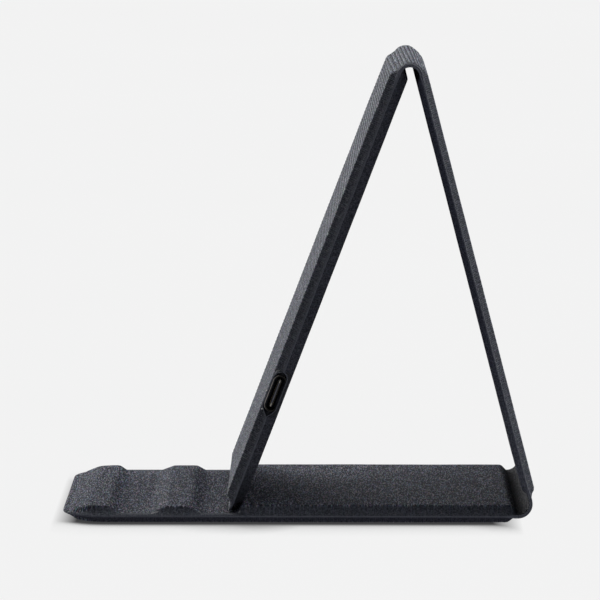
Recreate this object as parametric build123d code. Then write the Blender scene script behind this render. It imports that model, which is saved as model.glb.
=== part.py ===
from build123d import *
import os
from math import cos, radians, sin

# A fabric-covered wireless charging stand in three panels: a base that lies flat, a rear leg
# and a charging panel. Bands of the cover cloth hinge the base to the leg and the leg to the
# charging panel, whose foot rests in a channel across the base.
# Millimetres. +X runs from the phone's side to the rear hinge, +Z is up, and the origin is the
# middle of the flat underside of the base.

# ---- Cover cloth and hinges
width = 64.0  # every panel, across the stand
half_width = width / 2
cloth = 0.4  # one layer of cover laminate; two layers bonded together make the rims
base_bend_radius = 3.05  # middle surface of the rear hinge band
top_bend_radius = 2.6  # middle surface of the top hinge band

# ---- Stance of the open stand
leg_angle = 104.6  # rear leg above +X
panel_angle = 69.0  # charging panel above +X
leg_length = 104.75  # rear leg between its two hinge bands
foot_clearance = 0.05  # air under the foot of the charging panel

# ---- Base panel
base_front = -54.6  # front rim
base_rear = 53.9  # where the rear hinge band starts
rim_height = 1.88  # middle of the rim above the table
base_corner = 9.6  # plan radius of the front corners
edge_slope = 2.8  # how far the cover slopes in from a rim to a flat face
ridge_height = 1.97  # top of the two ridges above the middle of the rim
plateau_height = 2.26  # top of the long raised board above the middle of the rim
base_underside_front = base_front + edge_slope
base_underside_rear = 51.9
underside_rear_slope = 1.2
keeper_size = (6.0, 48.0, 0.6)  # steel strip under the channel
keeper_x = -15.1

# Each raised part of the base: foot and crest along X, plan radii of the front and rear corners
front_ridge_foot = (base_front, -39.9)
front_ridge_crest = (base_front + 5.6, -43.2)
rear_ridge_foot = (-35.4, -20.3)
rear_ridge_crest = (-30.0, -23.6)
plateau_foot = (-13.6, 53.9)
plateau_crest = (-12.1, 52.4)
front_ridge_radii = (8.8, 4.2)  # front corners, at the foot and at the crest
sharp_corner = 0.9

# ---- Charging panel, along its own length from the foot
front_thickness = 2.04  # charging face from the middle of the rim
rear_thickness = 2.5  # rear face from the middle of the rim
panel_corner = 5.0  # plan radius of the foot's corners
face_corners = (2.4, 1.0)  # plan radii of the raised faces' foot corners, at the rim and on top
foot_rim = 2.1  # bare rim at the foot
foot_slope = 1.5
top_slope = 1.0

# ---- Rear leg
leg_inner_thickness = 1.44
leg_outer_thickness = 1.59
leg_corner = 1.2
leg_end_rim = 0.6  # bare rim next to each hinge band
leg_end_slope = 1.4
leg_core_gap = 0.4  # the board stops this far short of the cover's ends

# ---- Electronics module inside the charging panel
core_side_gap = 0.7  # rim width left outside the core at the middle of the rim
core_top_gap = 2.95  # the same at a flat face
core_end_gap = 0.6
core_crest_gap = 0.3
core_corner_gap = 0.6
core_bulge_gap = 0.55
core_rear_gaps = (0.4, 0.2)  # base board inside the underside's rear slope, at the rim and below
cover_wall = 0.6
fit_gap = 0.02  # clearance round parts that sit in a pocket
tray_rib = (1.2, 12.0)
tray_rib_inset = 1.0
tray_rib_offset = 15.0
cavity = (9.5, 108.5)  # along the panel
cavity_half_width = 27.0
cavity_corner = 4.0
coil_position = 68.0  # coil centre from the foot
coil_outer_radius = 23.0
coil_inner_radius = 10.4
coil_turns = 9
coil_back = 0.1
coil_web = 0.3  # bonding layer that joins the turns
ferrite_radius = 25.0
ferrite_thickness = 0.6
shield_size = (52.0, 52.0, 0.3)
shield_corner = 3.0
lead_radius = 0.28
lead_offsets = (2.0, -3.0)  # inner and outer lead, to each side of the middle
lead_overlap = 3.0  # how far a lead runs over the circuit board
lead_lift = 0.45  # height of the outer lead where it joins the coil
lead_slot = 1.2
thermistor_size = (3.2, 1.6, 0.8)
board_range = (19.5, 42.5)
board_half_width = 25.5
board_face = -0.1  # component side of the circuit board
board_thickness = 0.8
magnet_size = (2.4, 12.0, 2.0)
magnet_position = 6.6
magnet_offset = 17.0

# ---- USB-C port in the near edge
port_position = 31.0  # from the foot
port_width = 8.94
port_height = 3.2
port_depth = 7.3
port_wall = 0.3
port_mouth = -half_width + 0.05
port_opening = (10.0, 3.4)
opening_depth = 2.4
port_body_depth = 1.9
bulge_reach = 6.6  # thicker stretch of the edge, to each side of the port
bulge_depth = 5.0
bulge_slope = 1.1
bulge_setback = 0.3
tongue_size = (6.69, 4.9, 0.7)
contact_size = (0.25, 3.6, 0.05)
contact_pitch = 0.5
contact_setback = 0.5  # contacts start this far behind the tip of the blade
contact_count = 12

# ---- Worked-out positions
leg_along = Vector(cos(radians(leg_angle)), 0, sin(radians(leg_angle)))
leg_inward = Vector(-sin(radians(leg_angle)), 0, cos(radians(leg_angle)))
panel_along = Vector(cos(radians(panel_angle)), 0, sin(radians(panel_angle)))
panel_forward = Vector(-sin(radians(panel_angle)), 0, cos(radians(panel_angle)))
base_bend_centre = Vector(base_rear, 0, rim_height + base_bend_radius)
leg_start = base_bend_centre - leg_inward * base_bend_radius
leg_end = leg_start + leg_along * leg_length
top_bend_centre = leg_end + leg_inward * top_bend_radius
panel_top = top_bend_centre + panel_forward * top_bend_radius
foot_height = rim_height + cloth + foot_clearance + cloth * panel_along.X
panel_length = (panel_top.Z - foot_height) / panel_along.Z
foot = panel_top - panel_along * panel_length
leg_plane = Plane(origin=leg_start, x_dir=leg_along, z_dir=leg_inward)
panel_plane = Plane(origin=foot, x_dir=panel_along, z_dir=panel_forward)
board_rear_face = board_face - board_thickness


def outline(start, end, half, start_radius, end_radius):
    """Flat plate from x=start to x=end with rounded corners at each end."""
    plate = Pos((start + end) / 2, 0) * Rectangle(end - start, 2 * half)
    if start_radius:
        plate = fillet(plate.vertices().group_by(Axis.X)[0], start_radius)
    if end_radius:
        plate = fillet(plate.vertices().group_by(Axis.X)[-1], end_radius)
    return plate


def slab(plate, low, high):
    """The plate as a solid between two heights."""
    return extrude(Pos(0, 0, low) * plate, high - low)


def sloped(lower, low, upper, high):
    """Solid whose sides slope from one plate up (or down) to another."""
    return loft([Pos(0, 0, low) * lower, Pos(0, 0, high) * upper], ruled=True)


def brick(x, y, low, high, length, breadth):
    """Rectangular block centred on x, y between two heights."""
    return Pos(x, y, (low + high) / 2) * Box(length, breadth, abs(high - low))


def band_ply(centre, inner_radius, outer_radius, start_angle, end_angle):
    """One layer of cover cloth bent round a hinge, right across the stand."""
    side = Plane(origin=(centre.X, -half_width, centre.Z), x_dir=(1, 0, 0), z_dir=(0, -1, 0))
    sweep = end_angle - start_angle
    outer = CenterArc((0, 0), outer_radius, start_angle, sweep)
    inner = CenterArc((0, 0), inner_radius, start_angle, sweep)
    ends = [Line(outer @ 0, inner @ 0), Line(outer @ 1, inner @ 1)]
    return extrude(side * make_face([outer, inner] + ends), -width)


# ---- Base

def raised_part(foot_range, crest_range, low, high, side_low, side_high, front_radii):
    """A ridge or the plateau: sloping sides from its foot up to its crest."""
    lower = outline(*foot_range, half_width - side_low, front_radii[0], sharp_corner)
    upper = outline(*crest_range, half_width - side_high, front_radii[1], sharp_corner)
    return sloped(lower, low, upper, high)


def inset(span, front_gap, rear_gap):
    """A span along x, shortened at both ends."""
    return (span[0] + front_gap, span[1] - rear_gap)


def raised_cover(foot_range, crest_range, height, radii):
    """The cover's outer shape over one raised part."""
    low = rim_height + cloth
    return raised_part(foot_range, crest_range, low, rim_height + height, 0, edge_slope, radii)


def raised_core(foot_range, crest_range, height, radii):
    """The board or former that lies under the cover at one raised part."""
    lower = inset(foot_range, core_side_gap, core_side_gap)
    upper = inset(crest_range, core_crest_gap, core_crest_gap)
    top = rim_height + height - cloth
    inner_radii = [radius - core_side_gap for radius in radii]
    return raised_part(lower, upper, rim_height, top, core_side_gap, core_top_gap, inner_radii)


def make_front_ridge(shape):
    """Front ridge, whose corners follow the front corners of the base."""
    return shape(front_ridge_foot, front_ridge_crest, ridge_height, front_ridge_radii)


def make_rear_ridge(shape):
    """Rear ridge: a gentle slope in front and a steep one that stops the phone."""
    return shape(rear_ridge_foot, rear_ridge_crest, ridge_height, (sharp_corner, sharp_corner))


def make_plateau(shape):
    """Long raised board behind the channel."""
    return shape(plateau_foot, plateau_crest, plateau_height, (sharp_corner, sharp_corner))


def base_top_skin():
    """Cover over the top of the base, draped over both ridges and the plateau."""
    rim = outline(base_front, base_rear, half_width, base_corner, 0)
    skin = slab(rim, rim_height, rim_height + cloth)
    for make in (make_front_ridge, make_rear_ridge, make_plateau):
        skin = skin + make(raised_cover) - make(raised_core)
    return skin


def base_core():
    """Stiff board of the base, with sloping edges under the rim."""
    upper_rear = base_underside_rear + underside_rear_slope - core_rear_gaps[0]
    lower_rear = base_underside_rear - core_rear_gaps[1]
    upper = outline(
        base_front + core_side_gap, upper_rear, half_width - core_side_gap,
        base_corner - core_side_gap, sharp_corner)
    lower = outline(
        base_front + core_top_gap, lower_rear, half_width - core_top_gap,
        base_corner - core_top_gap, sharp_corner)
    return sloped(lower, cloth, upper, rim_height)


def base_bottom_skin():
    """Cover over the underside of the base."""
    rim = outline(base_front, base_rear, half_width, base_corner, 0)
    upper_rear = base_underside_rear + underside_rear_slope
    upper = outline(base_front, upper_rear, half_width, base_corner, sharp_corner)
    lower = outline(
        base_underside_front, base_underside_rear, half_width - edge_slope,
        base_corner - edge_slope, sharp_corner)
    skin = slab(rim, rim_height - cloth, rim_height)
    return skin + sloped(lower, 0, upper, rim_height - cloth) - base_core()


def keeper_strip():
    """Steel strip let into the base board, which the foot's magnets pull towards."""
    length, breadth, depth = keeper_size
    return brick(keeper_x, 0, rim_height - depth, rim_height, length, breadth)


def base_board():
    """Stiff board of the base with the pocket for the keeper strip."""
    return base_core() - keeper_strip()


# ---- Rear leg

def leg_half(side_gap, top_gap, end_gap, low, high):
    """One sloping half of the leg, from the height low at its rim to high at its face."""
    start = leg_end_rim + end_gap
    end = leg_length - leg_end_rim - end_gap
    lower = outline(start, end, half_width - side_gap, leg_corner, leg_corner)
    upper = outline(
        start + leg_end_slope, end - leg_end_slope, half_width - top_gap, leg_corner, leg_corner)
    return sloped(lower, low, upper, high)


def leg_core(side):
    """The part of the leg's board on one side of the middle of its rim."""
    thickness = leg_inner_thickness if side > 0 else leg_outer_thickness
    high = side * (thickness - cloth)
    return leg_half(core_side_gap, core_top_gap, leg_core_gap, 0, high)


def leg_skin(side):
    """Cover over the inner (+1) or outer (-1) side of the leg."""
    thickness = leg_inner_thickness if side > 0 else leg_outer_thickness
    rim = slab(outline(0, leg_length, half_width, 0, 0), 0, side * cloth)
    raised = leg_half(0, edge_slope, 0, side * cloth, side * thickness)
    return rim + raised - leg_core(side)


def leg_board():
    """Stiff board of the leg."""
    return leg_core(1) + leg_core(-1)


# ---- Charging panel

def panel_half(side_gap, top_gap, end_gap, corner_gap, low, high):
    """One sloping half of the charging panel, between two heights."""
    start = foot_rim + end_gap
    end = panel_length - end_gap
    rim_corner, top_corner = (radius - corner_gap for radius in face_corners)
    lower = outline(start, end, half_width - side_gap, rim_corner, sharp_corner)
    upper = outline(
        start + foot_slope, end - top_slope, half_width - top_gap, top_corner, sharp_corner)
    return sloped(lower, low, upper, high)


def port_bulge(gap, low, high):
    """The thicker stretch of the near edge that holds the port."""
    reach = bulge_reach - gap
    middle = -half_width + gap + bulge_depth / 2
    upper_size = (2 * (reach - bulge_slope), bulge_depth - 2 * bulge_setback)
    lower = Pos(port_position, middle) * Rectangle(2 * reach, bulge_depth)
    upper = Pos(port_position, middle + bulge_setback) * Rectangle(*upper_size)
    return sloped(lower, low, upper, high)


def panel_core(side):
    """The module's outer shape on one side of the middle of the rim."""
    thickness = front_thickness if side > 0 else rear_thickness
    high = side * (thickness - cloth)
    body = panel_half(core_side_gap, core_top_gap, core_end_gap, core_corner_gap, 0, high)
    return body + port_bulge(core_bulge_gap, 0, high)


def port_opening_cut():
    """The eye that the two covers leave round the mouth of the port."""
    eye = Plane.XZ * SlotOverall(*port_opening)
    return Pos(port_position, -half_width + opening_depth / 2, 0) * extrude(eye, opening_depth)


def panel_skin(side):
    """Cover over the charging face (+1) or the rear face (-1)."""
    thickness = front_thickness if side > 0 else rear_thickness
    rim = slab(outline(0, panel_length, half_width, panel_corner, 0), 0, side * cloth)
    raised = panel_half(0, edge_slope, 0, 0, side * cloth, side * thickness)
    bulge = port_bulge(0, side * cloth, side * thickness)
    return rim + raised + bulge - panel_core(side) - port_opening_cut()


def module_space():
    """Everything cut out of the module's covers: the cavity, the port and the magnets."""
    room = outline(*cavity, cavity_half_width, cavity_corner, cavity_corner)
    low = -(rear_thickness - cloth - cover_wall)
    high = front_thickness - cloth - cover_wall
    space = slab(room, low, high)
    port_half = port_height / 2 + fit_gap
    port_pocket = (port_width + 0.2, port_depth + 0.8)
    port_centre = -half_width + port_pocket[1] / 2
    space = space + brick(port_position, port_centre, -port_half, port_half, *port_pocket)
    for magnet in foot_magnets():
        space = space + magnet
    return space


def module_front_cover():
    """Moulded cover under the charging face."""
    return panel_core(1) - module_space()


def module_rear_cover():
    """Moulded tray behind the electronics, with four ribs that carry the circuit board."""
    tray = panel_core(-1) - module_space()
    floor = -(rear_thickness - cloth - cover_wall)
    for x in (board_range[0] + tray_rib_inset, board_range[1] - tray_rib_inset):
        for y in (-tray_rib_offset, tray_rib_offset):
            tray = tray + brick(x, y, floor, board_rear_face, *tray_rib)
    return tray


def transmit_coil():
    """Flat spiral coil of litz wire, one rounded ring for each turn."""
    pitch = (coil_outer_radius - coil_inner_radius) / coil_turns
    front = front_thickness - cloth - cover_wall
    middle = (coil_back + front) / 2
    ring = Circle(coil_outer_radius - pitch / 2) - Circle(coil_inner_radius + pitch / 2)
    coil = slab(ring, middle - coil_web / 2, middle + coil_web / 2)
    wire_radius = (front - coil_back) / 2 - fit_gap
    for turn in range(coil_turns):
        radius = coil_inner_radius + pitch * (turn + 0.5)
        coil = coil + Pos(0, 0, middle) * Torus(radius, wire_radius)
    return Pos(coil_position, 0, 0) * coil


def lead_slot_cut():
    """Radial slot that lets the coil's inner lead out behind the coil."""
    length = coil_position - coil_inner_radius - board_range[1] + 6.0
    middle = board_range[1] + length / 2
    return brick(middle, lead_offsets[0], -3.0, 3.0, length, lead_slot)


def ferrite_sheet():
    """Ferrite disc behind the coil."""
    disc = slab(Circle(ferrite_radius), -ferrite_thickness, 0)
    return Pos(coil_position, 0, 0) * disc - lead_slot_cut()


def shield_plate():
    """Aluminium heat spreader behind the ferrite."""
    length, breadth, depth = shield_size
    top = -ferrite_thickness
    plate = slab(fillet(Rectangle(length, breadth).vertices(), shield_corner), top - depth, top)
    return Pos(coil_position + 1.0, 0, 0) * plate


def coil_leads():
    """The coil's two leads, from its inner and outer turns to the circuit board."""
    edge = board_range[1]
    pad = edge - lead_overlap
    on_pad = board_face + lead_radius + fit_gap
    in_slot = -lead_radius - fit_gap
    inner, outer = lead_offsets
    inner_path = Polyline(
        (pad, inner, on_pad), (edge + 0.4, inner, on_pad),
        (edge + 1.6, inner, in_slot), (coil_position - coil_inner_radius, inner, in_slot))
    outer_path = Polyline(
        (pad, outer, on_pad), (edge - 0.6, outer, on_pad),
        (edge + 0.4, outer, lead_lift),
        (coil_position - coil_outer_radius - 0.4, outer, lead_lift))
    leads = []
    for path in (inner_path, outer_path):
        start = Plane(origin=path @ 0, z_dir=path % 0)
        leads.append(sweep(start * Circle(lead_radius), path, transition=Transition.ROUND))
    return leads


def thermistor():
    """Temperature sensor in the middle of the coil."""
    length, breadth, height = thermistor_size
    return brick(coil_position, 0, 0, height, length, breadth)


def circuit_board():
    """Driver board, notched round the port."""
    board = outline(*board_range, board_half_width, 1.0, 1.0)
    notch_depth = port_depth + 1.2
    notch = Pos(port_position, -half_width + notch_depth / 2) * Rectangle(
        port_width + 0.3, notch_depth)
    return slab(board - notch, board_rear_face, board_face)


def on_board(x, y, length, breadth, height):
    """One component standing on the circuit board."""
    return brick(x, y, board_face, board_face + height, length, breadth)


def controller_chip():
    """Charging controller."""
    return on_board(30.0, -6.0, 5.0, 5.0, 0.85)


def driver_chips():
    """Two half-bridge drivers for the coil."""
    return [on_board(35.0, y, 3.2, 3.2, 0.85) for y in (4.5, 10.0)]


def resonance_capacitors():
    """Four capacitors that tune the coil."""
    return [on_board(39.0, y, 1.6, 3.2, 1.0) for y in (8.0, 12.5, 17.0, 21.5)]


def filter_inductor():
    """Input filter inductor beside the port."""
    block = on_board(25.0, -17.0, 4.0, 4.0, 1.05)
    return chamfer(block.edges().filter_by(Axis.Z), 0.5)


def small_passives():
    """Rows of small resistors and capacitors."""
    rows = []
    for x in (23.0, 26.0, 29.0):
        for y in (4.0, 6.5, 9.0, 11.5, 14.0):
            rows.append(on_board(x, y, 1.0, 0.5, 0.5))
    return rows


def foot_magnets():
    """Two bar magnets along the foot, which hold it in the channel of the base."""
    length, breadth, depth = magnet_size
    low = -depth / 2 - 0.1
    sides = (-magnet_offset, magnet_offset)
    return [brick(magnet_position, y, low, low + depth, length, breadth) for y in sides]


# ---- USB-C port: built with its mouth towards -Y and moved along the near edge

def port_prism(shape, start, depth):
    """Extrudes a cross-section of the port from y=start into the panel."""
    return Pos(port_position, start + depth, 0) * extrude(Plane.XZ * shape, depth)


def usb_port_shell():
    """Drawn metal shell of the port."""
    inner = SlotOverall(port_width - 2 * port_wall, port_height - 2 * port_wall)
    return port_prism(SlotOverall(port_width, port_height) - inner, port_mouth, port_depth)


def usb_port_body():
    """Moulded insulator that closes the rear of the shell."""
    gap = 2 * port_wall + fit_gap
    shape = SlotOverall(port_width - gap, port_height - gap)
    return port_prism(shape, port_mouth + port_depth - port_body_depth, port_body_depth)


def usb_port_tongue():
    """Contact blade in the middle of the port."""
    breadth, depth, thickness = tongue_size
    start = port_mouth + port_depth - port_body_depth - depth
    return port_prism(Rectangle(breadth, thickness), start, depth)


def usb_port_contacts():
    """Two rows of flat contacts on the blade."""
    breadth, depth, thickness = contact_size
    start = port_mouth + port_depth - port_body_depth - tongue_size[1] + contact_setback
    rows = []
    for side in (1, -1):
        height = side * (tongue_size[2] + thickness) / 2
        for number in range(contact_count):
            x = contact_pitch * (number - (contact_count - 1) / 2)
            rows.append(port_prism(Pos(x, height) * Rectangle(breadth, thickness), start, depth))
    return rows


# ---- Hinge bands: the cover runs on from panel to panel, one layer inside the other

leg_side = leg_angle - 90
panel_side = panel_angle + 90


def base_hinge(inner_radius, outer_radius):
    """A layer of the band between the base and the leg."""
    return band_ply(base_bend_centre, inner_radius, outer_radius, -90, leg_side)


def top_hinge(inner_radius, outer_radius):
    """A layer of the band between the leg and the charging panel."""
    return band_ply(top_bend_centre, inner_radius, outer_radius, leg_side, panel_side)


def write(name, shapes, plane=None):
    """Writes one node, moved from its panel's own plane into place."""
    solids = []
    for shape in shapes if isinstance(shapes, list) else [shapes]:
        placed = shape.moved(plane.location) if plane else shape
        solids += placed.solids()
    node = solids[0] if len(solids) == 1 else Compound(solids)
    export_step(node, os.path.join("parts", name + ".step"))


os.makedirs("parts", exist_ok=True)

write("base_top_skin", base_top_skin())
write("base_bottom_skin", base_bottom_skin())
write("base_board", base_board())
write("keeper_strip", keeper_strip())
write("front_ridge", make_front_ridge(raised_core))
write("rear_ridge", make_rear_ridge(raised_core))
write("plateau_board", make_plateau(raised_core))

write("base_hinge_inner_ply", base_hinge(base_bend_radius - cloth, base_bend_radius))
write("base_hinge_outer_ply", base_hinge(base_bend_radius, base_bend_radius + cloth))
write("top_hinge_inner_ply", top_hinge(top_bend_radius - cloth, top_bend_radius))
write("top_hinge_outer_ply", top_hinge(top_bend_radius, top_bend_radius + cloth))

write("leg_inner_skin", leg_skin(1), leg_plane)
write("leg_outer_skin", leg_skin(-1), leg_plane)
write("leg_board", leg_board(), leg_plane)

write("panel_front_skin", panel_skin(1), panel_plane)
write("panel_rear_skin", panel_skin(-1), panel_plane)
write("module_front_cover", module_front_cover(), panel_plane)
write("module_rear_cover", module_rear_cover(), panel_plane)
write("transmit_coil", transmit_coil(), panel_plane)
write("coil_leads", coil_leads(), panel_plane)
write("ferrite_sheet", ferrite_sheet(), panel_plane)
write("shield_plate", shield_plate(), panel_plane)
write("thermistor", thermistor(), panel_plane)
write("circuit_board", circuit_board(), panel_plane)
write("controller_chip", controller_chip(), panel_plane)
write("driver_chips", driver_chips(), panel_plane)
write("resonance_capacitors", resonance_capacitors(), panel_plane)
write("filter_inductor", filter_inductor(), panel_plane)
write("small_passives", small_passives(), panel_plane)
write("foot_magnets", foot_magnets(), panel_plane)
write("usb_port_shell", usb_port_shell(), panel_plane)
write("usb_port_body", usb_port_body(), panel_plane)
write("usb_port_tongue", usb_port_tongue(), panel_plane)
write("usb_port_contacts", usb_port_contacts(), panel_plane)
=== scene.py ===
import math

import bpy
import numpy as np
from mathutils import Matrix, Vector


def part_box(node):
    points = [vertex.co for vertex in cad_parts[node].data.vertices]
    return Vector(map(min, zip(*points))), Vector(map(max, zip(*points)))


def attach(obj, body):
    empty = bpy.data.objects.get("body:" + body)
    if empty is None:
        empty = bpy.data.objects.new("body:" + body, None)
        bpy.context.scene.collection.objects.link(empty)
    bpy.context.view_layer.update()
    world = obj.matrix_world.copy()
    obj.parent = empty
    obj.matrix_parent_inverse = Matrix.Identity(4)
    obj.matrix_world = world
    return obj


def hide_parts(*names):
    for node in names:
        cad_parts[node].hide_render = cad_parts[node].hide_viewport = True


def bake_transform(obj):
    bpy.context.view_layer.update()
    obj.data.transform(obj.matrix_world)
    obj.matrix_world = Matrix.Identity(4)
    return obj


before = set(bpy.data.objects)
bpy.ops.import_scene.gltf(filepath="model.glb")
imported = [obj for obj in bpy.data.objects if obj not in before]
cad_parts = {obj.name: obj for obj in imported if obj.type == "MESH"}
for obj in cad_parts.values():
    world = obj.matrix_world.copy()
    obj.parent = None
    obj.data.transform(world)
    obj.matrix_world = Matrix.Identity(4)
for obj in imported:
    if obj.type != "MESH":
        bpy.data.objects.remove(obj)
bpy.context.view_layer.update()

# A cloth-covered folding charging stand. The covers are two long sheets, one on each side of a
# strip of boards, which is folded at two hinges. Every cover is worked out on the unfolded strip,
# in millimetres: `along` runs from the front rim of the base, over the rear hinge, up the leg, over
# the top hinge and down the charging panel to its foot, and `across` runs from side to side.

MM = 0.001


# ---------------------------------------------------------------- sizes taken from the frame

def box_mm(node):
    """Lowest and highest corner of a CAD node, in millimetres."""
    low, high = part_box(node)
    return np.array(low) / MM, np.array(high) / MM


CLOTH = 0.4  # thickness of one cover
LEG_ANGLE = math.radians(104.6)  # of the leg above +X
PANEL_ANGLE = math.radians(69.0)  # of the charging panel above +X
BASE_CORNER = 9.6  # plan radii of the strip's end corners
FOOT_CORNER = 5.0
EDGE_SLOPE = 2.8  # how far in from the rim a raised face starts
LEG_INNER_THICKNESS = 1.44  # of each panel, from the middle of the rim to its face
LEG_OUTER_THICKNESS = 1.59
FACE_THICKNESS = 2.04
REAR_THICKNESS = 2.5

base_low, base_high = box_mm("base_top_skin")
HALF_WIDTH = base_high[1]
rim_low, rim_high = box_mm("base_hinge_outer_ply")
RIM_HEIGHT = rim_low[2] + CLOTH
BASE_FRONT = base_low[0]
BASE_REAR = rim_low[0]
BASE_BEND = rim_high[0] - rim_low[0] - CLOTH
top_low, top_high = box_mm("top_hinge_outer_ply")
TOP_BEND = (top_high[0] - top_low[0]) / (
    math.sin(LEG_ANGLE) + math.sin(PANEL_ANGLE)) - CLOTH


def direction(angle):
    """Unit vector in the X-Z plane."""
    return np.array([math.cos(angle), math.sin(angle)])


leg_along = direction(LEG_ANGLE)
leg_inward = direction(LEG_ANGLE + math.pi / 2)
panel_along = direction(PANEL_ANGLE)
panel_forward = direction(PANEL_ANGLE + math.pi / 2)
base_bend_centre = np.array([BASE_REAR, RIM_HEIGHT + BASE_BEND])
leg_start = base_bend_centre - leg_inward * BASE_BEND
top_bend_centre = np.array([
    top_high[0] - (TOP_BEND + CLOTH) * math.sin(LEG_ANGLE), top_high[2] - TOP_BEND - CLOTH])
leg_end = top_bend_centre - leg_inward * TOP_BEND
panel_top = top_bend_centre + panel_forward * TOP_BEND
foot_height = box_mm("panel_rear_skin")[0][2] + CLOTH * math.cos(PANEL_ANGLE)
panel_length = (panel_top[1] - foot_height) / panel_along[1]

# Stretches of the unfolded strip
BASE_LENGTH = BASE_REAR - BASE_FRONT
BASE_BEND_LENGTH = BASE_BEND * LEG_ANGLE
LEG_LENGTH = float(np.linalg.norm(leg_end - leg_start))
TOP_BEND_ANGLE = math.pi - LEG_ANGLE + PANEL_ANGLE
TOP_BEND_LENGTH = TOP_BEND * TOP_BEND_ANGLE
LEG_FROM = BASE_LENGTH + BASE_BEND_LENGTH
LEG_TO = LEG_FROM + LEG_LENGTH
PANEL_FROM = LEG_TO + TOP_BEND_LENGTH
STRIP_END = PANEL_FROM + panel_length

# Heights of the raised parts above the pressed rim
RIDGE_RISE = box_mm("front_ridge")[1][2] - RIM_HEIGHT
PLATEAU_RISE = box_mm("plateau_board")[1][2] - RIM_HEIGHT
UNDERSIDE_RISE = RIM_HEIGHT - CLOTH
LEG_INNER_RISE = LEG_INNER_THICKNESS - CLOTH
LEG_OUTER_RISE = LEG_OUTER_THICKNESS - CLOTH
FACE_RISE = FACE_THICKNESS - CLOTH
REAR_RISE = REAR_THICKNESS - CLOTH

# The eye that the covers leave round the port, measured along the panel from the port's middle
PORT_FROM_FOOT = 31.0
PORT_REACH = 8.0  # how far the covers are disturbed on both sides
EYE_FRONT_HALF_HEIGHT = 1.72
EYE_REAR_HALF_HEIGHT = 1.42  # the rear cover's lip hides the edge of the shell
EYE_TOP_START = 3.4  # where its rounded end begins, towards the top of the panel
EYE_TOP_LENGTH = 1.9
EYE_POINT = 5.9  # where its pointed end lies, towards the foot
EYE_POINT_LENGTH = 2.2
EYE_FOOT_ROUNDING = 0.35
EYE_DEPTH = 0.9  # how far in from the rim it stays open
EYE_FADE = 1.6

# The metal shell of the port and its tongue
SHELL_HALF_HEIGHT = 1.6
SHELL_LIP = 0.14
TONGUE_HALF_THICKNESS = 0.18
TONGUE_END = 2.55


def strip_path(along):
    """Middle surface of the strip at each distance along it: points and outward normals in X-Z."""
    along = np.asarray(along, float)
    point = np.zeros(along.shape + (2,))
    normal = np.zeros(along.shape + (2,))

    flat = along <= BASE_LENGTH
    point[flat] = np.stack([BASE_FRONT + along[flat], np.full(flat.sum(), RIM_HEIGHT)], -1)
    normal[flat] = (0, -1)

    bend = (along > BASE_LENGTH) & (along < LEG_FROM)
    turn = (along[bend] - BASE_LENGTH) / BASE_BEND - math.pi / 2
    spoke = np.stack([np.cos(turn), np.sin(turn)], -1)
    point[bend] = base_bend_centre + BASE_BEND * spoke
    normal[bend] = spoke

    leg = (along >= LEG_FROM) & (along <= LEG_TO)
    point[leg] = leg_start + (along[leg] - LEG_FROM)[:, None] * leg_along
    normal[leg] = -leg_inward

    crest = (along > LEG_TO) & (along < PANEL_FROM)
    turn = (along[crest] - LEG_TO) / TOP_BEND + LEG_ANGLE - math.pi / 2
    spoke = np.stack([np.cos(turn), np.sin(turn)], -1)
    point[crest] = top_bend_centre + TOP_BEND * spoke
    normal[crest] = spoke

    panel = along >= PANEL_FROM
    point[panel] = panel_top - (along[panel] - PANEL_FROM)[:, None] * panel_along
    normal[panel] = panel_forward
    return point, normal


def rim_distance(along, across):
    """Distance in from the outline of the strip, whose four end corners are rounded."""
    centre = STRIP_END / 2
    radius = np.where(along < centre, BASE_CORNER, FOOT_CORNER)
    dx = np.abs(along - centre) - (centre - radius)
    dy = np.abs(across) - (HALF_WIDTH - radius)
    outside = np.hypot(np.maximum(dx, 0), np.maximum(dy, 0))
    return radius - outside - np.minimum(np.maximum(dx, dy), 0)


def half_width_at(along):
    """Half the strip's width at each distance along it."""
    along = np.asarray(along, float)
    half = np.full(along.shape, HALF_WIDTH)
    for depth, radius in ((along, BASE_CORNER), (STRIP_END - along, FOOT_CORNER)):
        near = depth < radius
        half[near] -= radius - np.sqrt(
            np.maximum(radius ** 2 - (radius - depth[near]) ** 2, 0))
    return half


# ---------------------------------------------------------------- draping the covers

GRID = 0.4  # spacing of the draping grid
PULL = 0.6  # how hard the cover is pressed down, as curvature per millimetre
DRAPE_STEPS = 260
OVER_RELAXATION = 1.6
BONDED_RIM = 0.5  # width of the rim where the two covers are held together
FOLD_RADIUS = 0.32  # how softly the cover turns over the edge of a board
LEG_BRIDGE_ANGLE = math.radians(25)  # turn of the top bend at which the cover meets it
PANEL_BRIDGE_ANGLE = math.radians(38)
PANEL_BRIDGE_DIP = 0.2  # how far the cover's straight pulls pass under or over the hinge band
LEG_BRIDGE_SWELL = 0.42
BRIDGE_START = 3.0  # before the bend, on a panel
BRIDGE_SIDE_SLOPE = 2.0
STEEPEST_TURN = 1.2  # in radians
CREST_SWELL = 0.26  # how far the cover stands off the hinge band on the crest
CREST_LEAN = 1.25  # moves the swell towards the leg
TOP_DIP = 0.15  # how far the charging face falls off towards its top
TOP_DIP_LENGTH = 13.0
ALONG_GRID = np.arange(0, STRIP_END + GRID, GRID)
ACROSS_GRID = np.linspace(-HALF_WIDTH, HALF_WIDTH, round(2 * HALF_WIDTH / GRID) + 1)
MESH_ALONG, MESH_ACROSS = np.meshgrid(ALONG_GRID, ACROSS_GRID, indexing="ij")
MESH_RIM = rim_distance(MESH_ALONG, MESH_ACROSS)


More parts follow.
